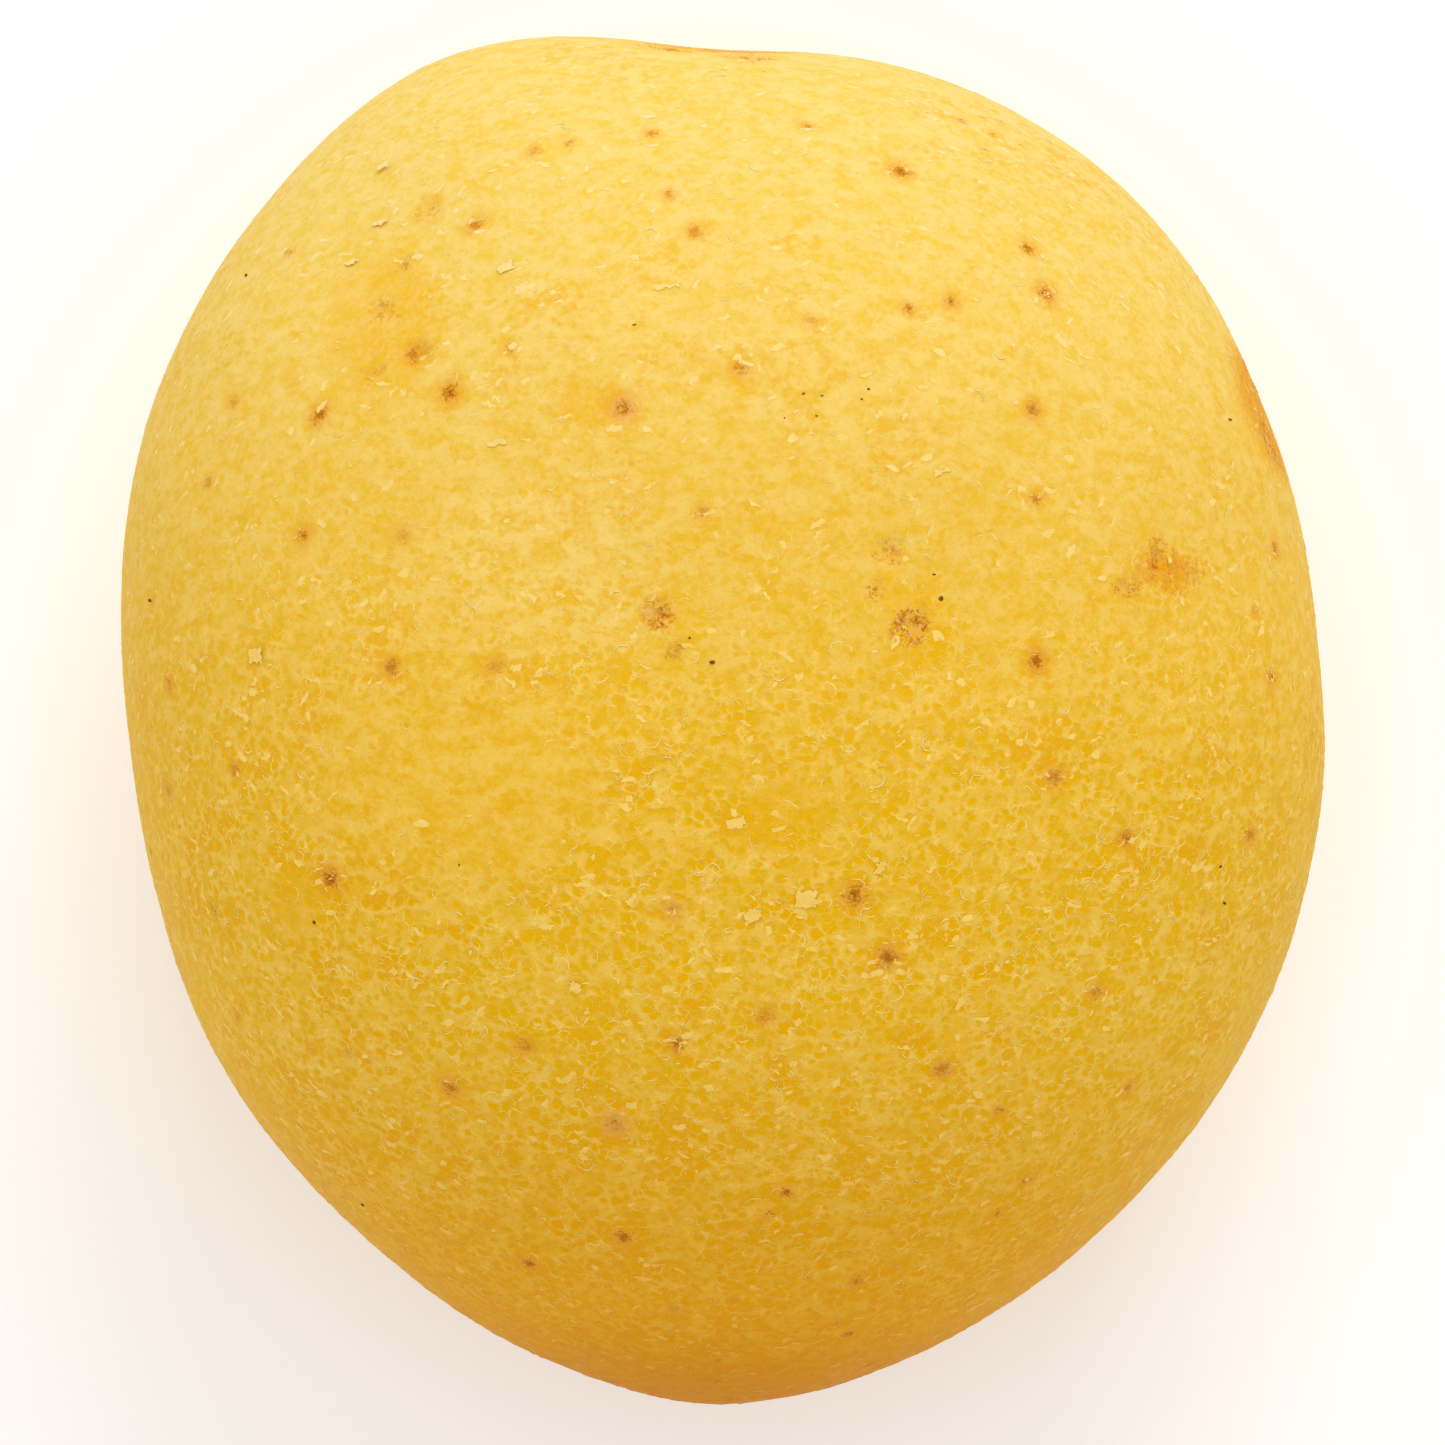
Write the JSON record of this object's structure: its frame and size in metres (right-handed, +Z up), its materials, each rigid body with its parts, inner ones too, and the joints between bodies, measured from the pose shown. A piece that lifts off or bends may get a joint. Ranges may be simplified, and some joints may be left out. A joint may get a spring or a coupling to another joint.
{
  "type": "potato",
  "caption": "Whole raw yellow potato with a rounded egg-like body, thin flaky skin and shallow eyes, lying on a small flat spot on its broad side.",
  "frame": {"origin": "centre of the bounding box's floor, on the flat spot that the potato rests on", "axes": "+Y along the length towards the broad rose end, -Y towards the narrow stolon end, +X across, +Z up from the flat spot"},
  "size_m": [0.07, 0.08, 0.06],
  "materials": {
    "potato_skin": "thin matte to faintly satin cork skin over yellow flesh, with pale flakes and brown breathing pores"
  },
  "bodies": {
    "root": {"potato": "potato_skin"}
  },
  "joints": []
}
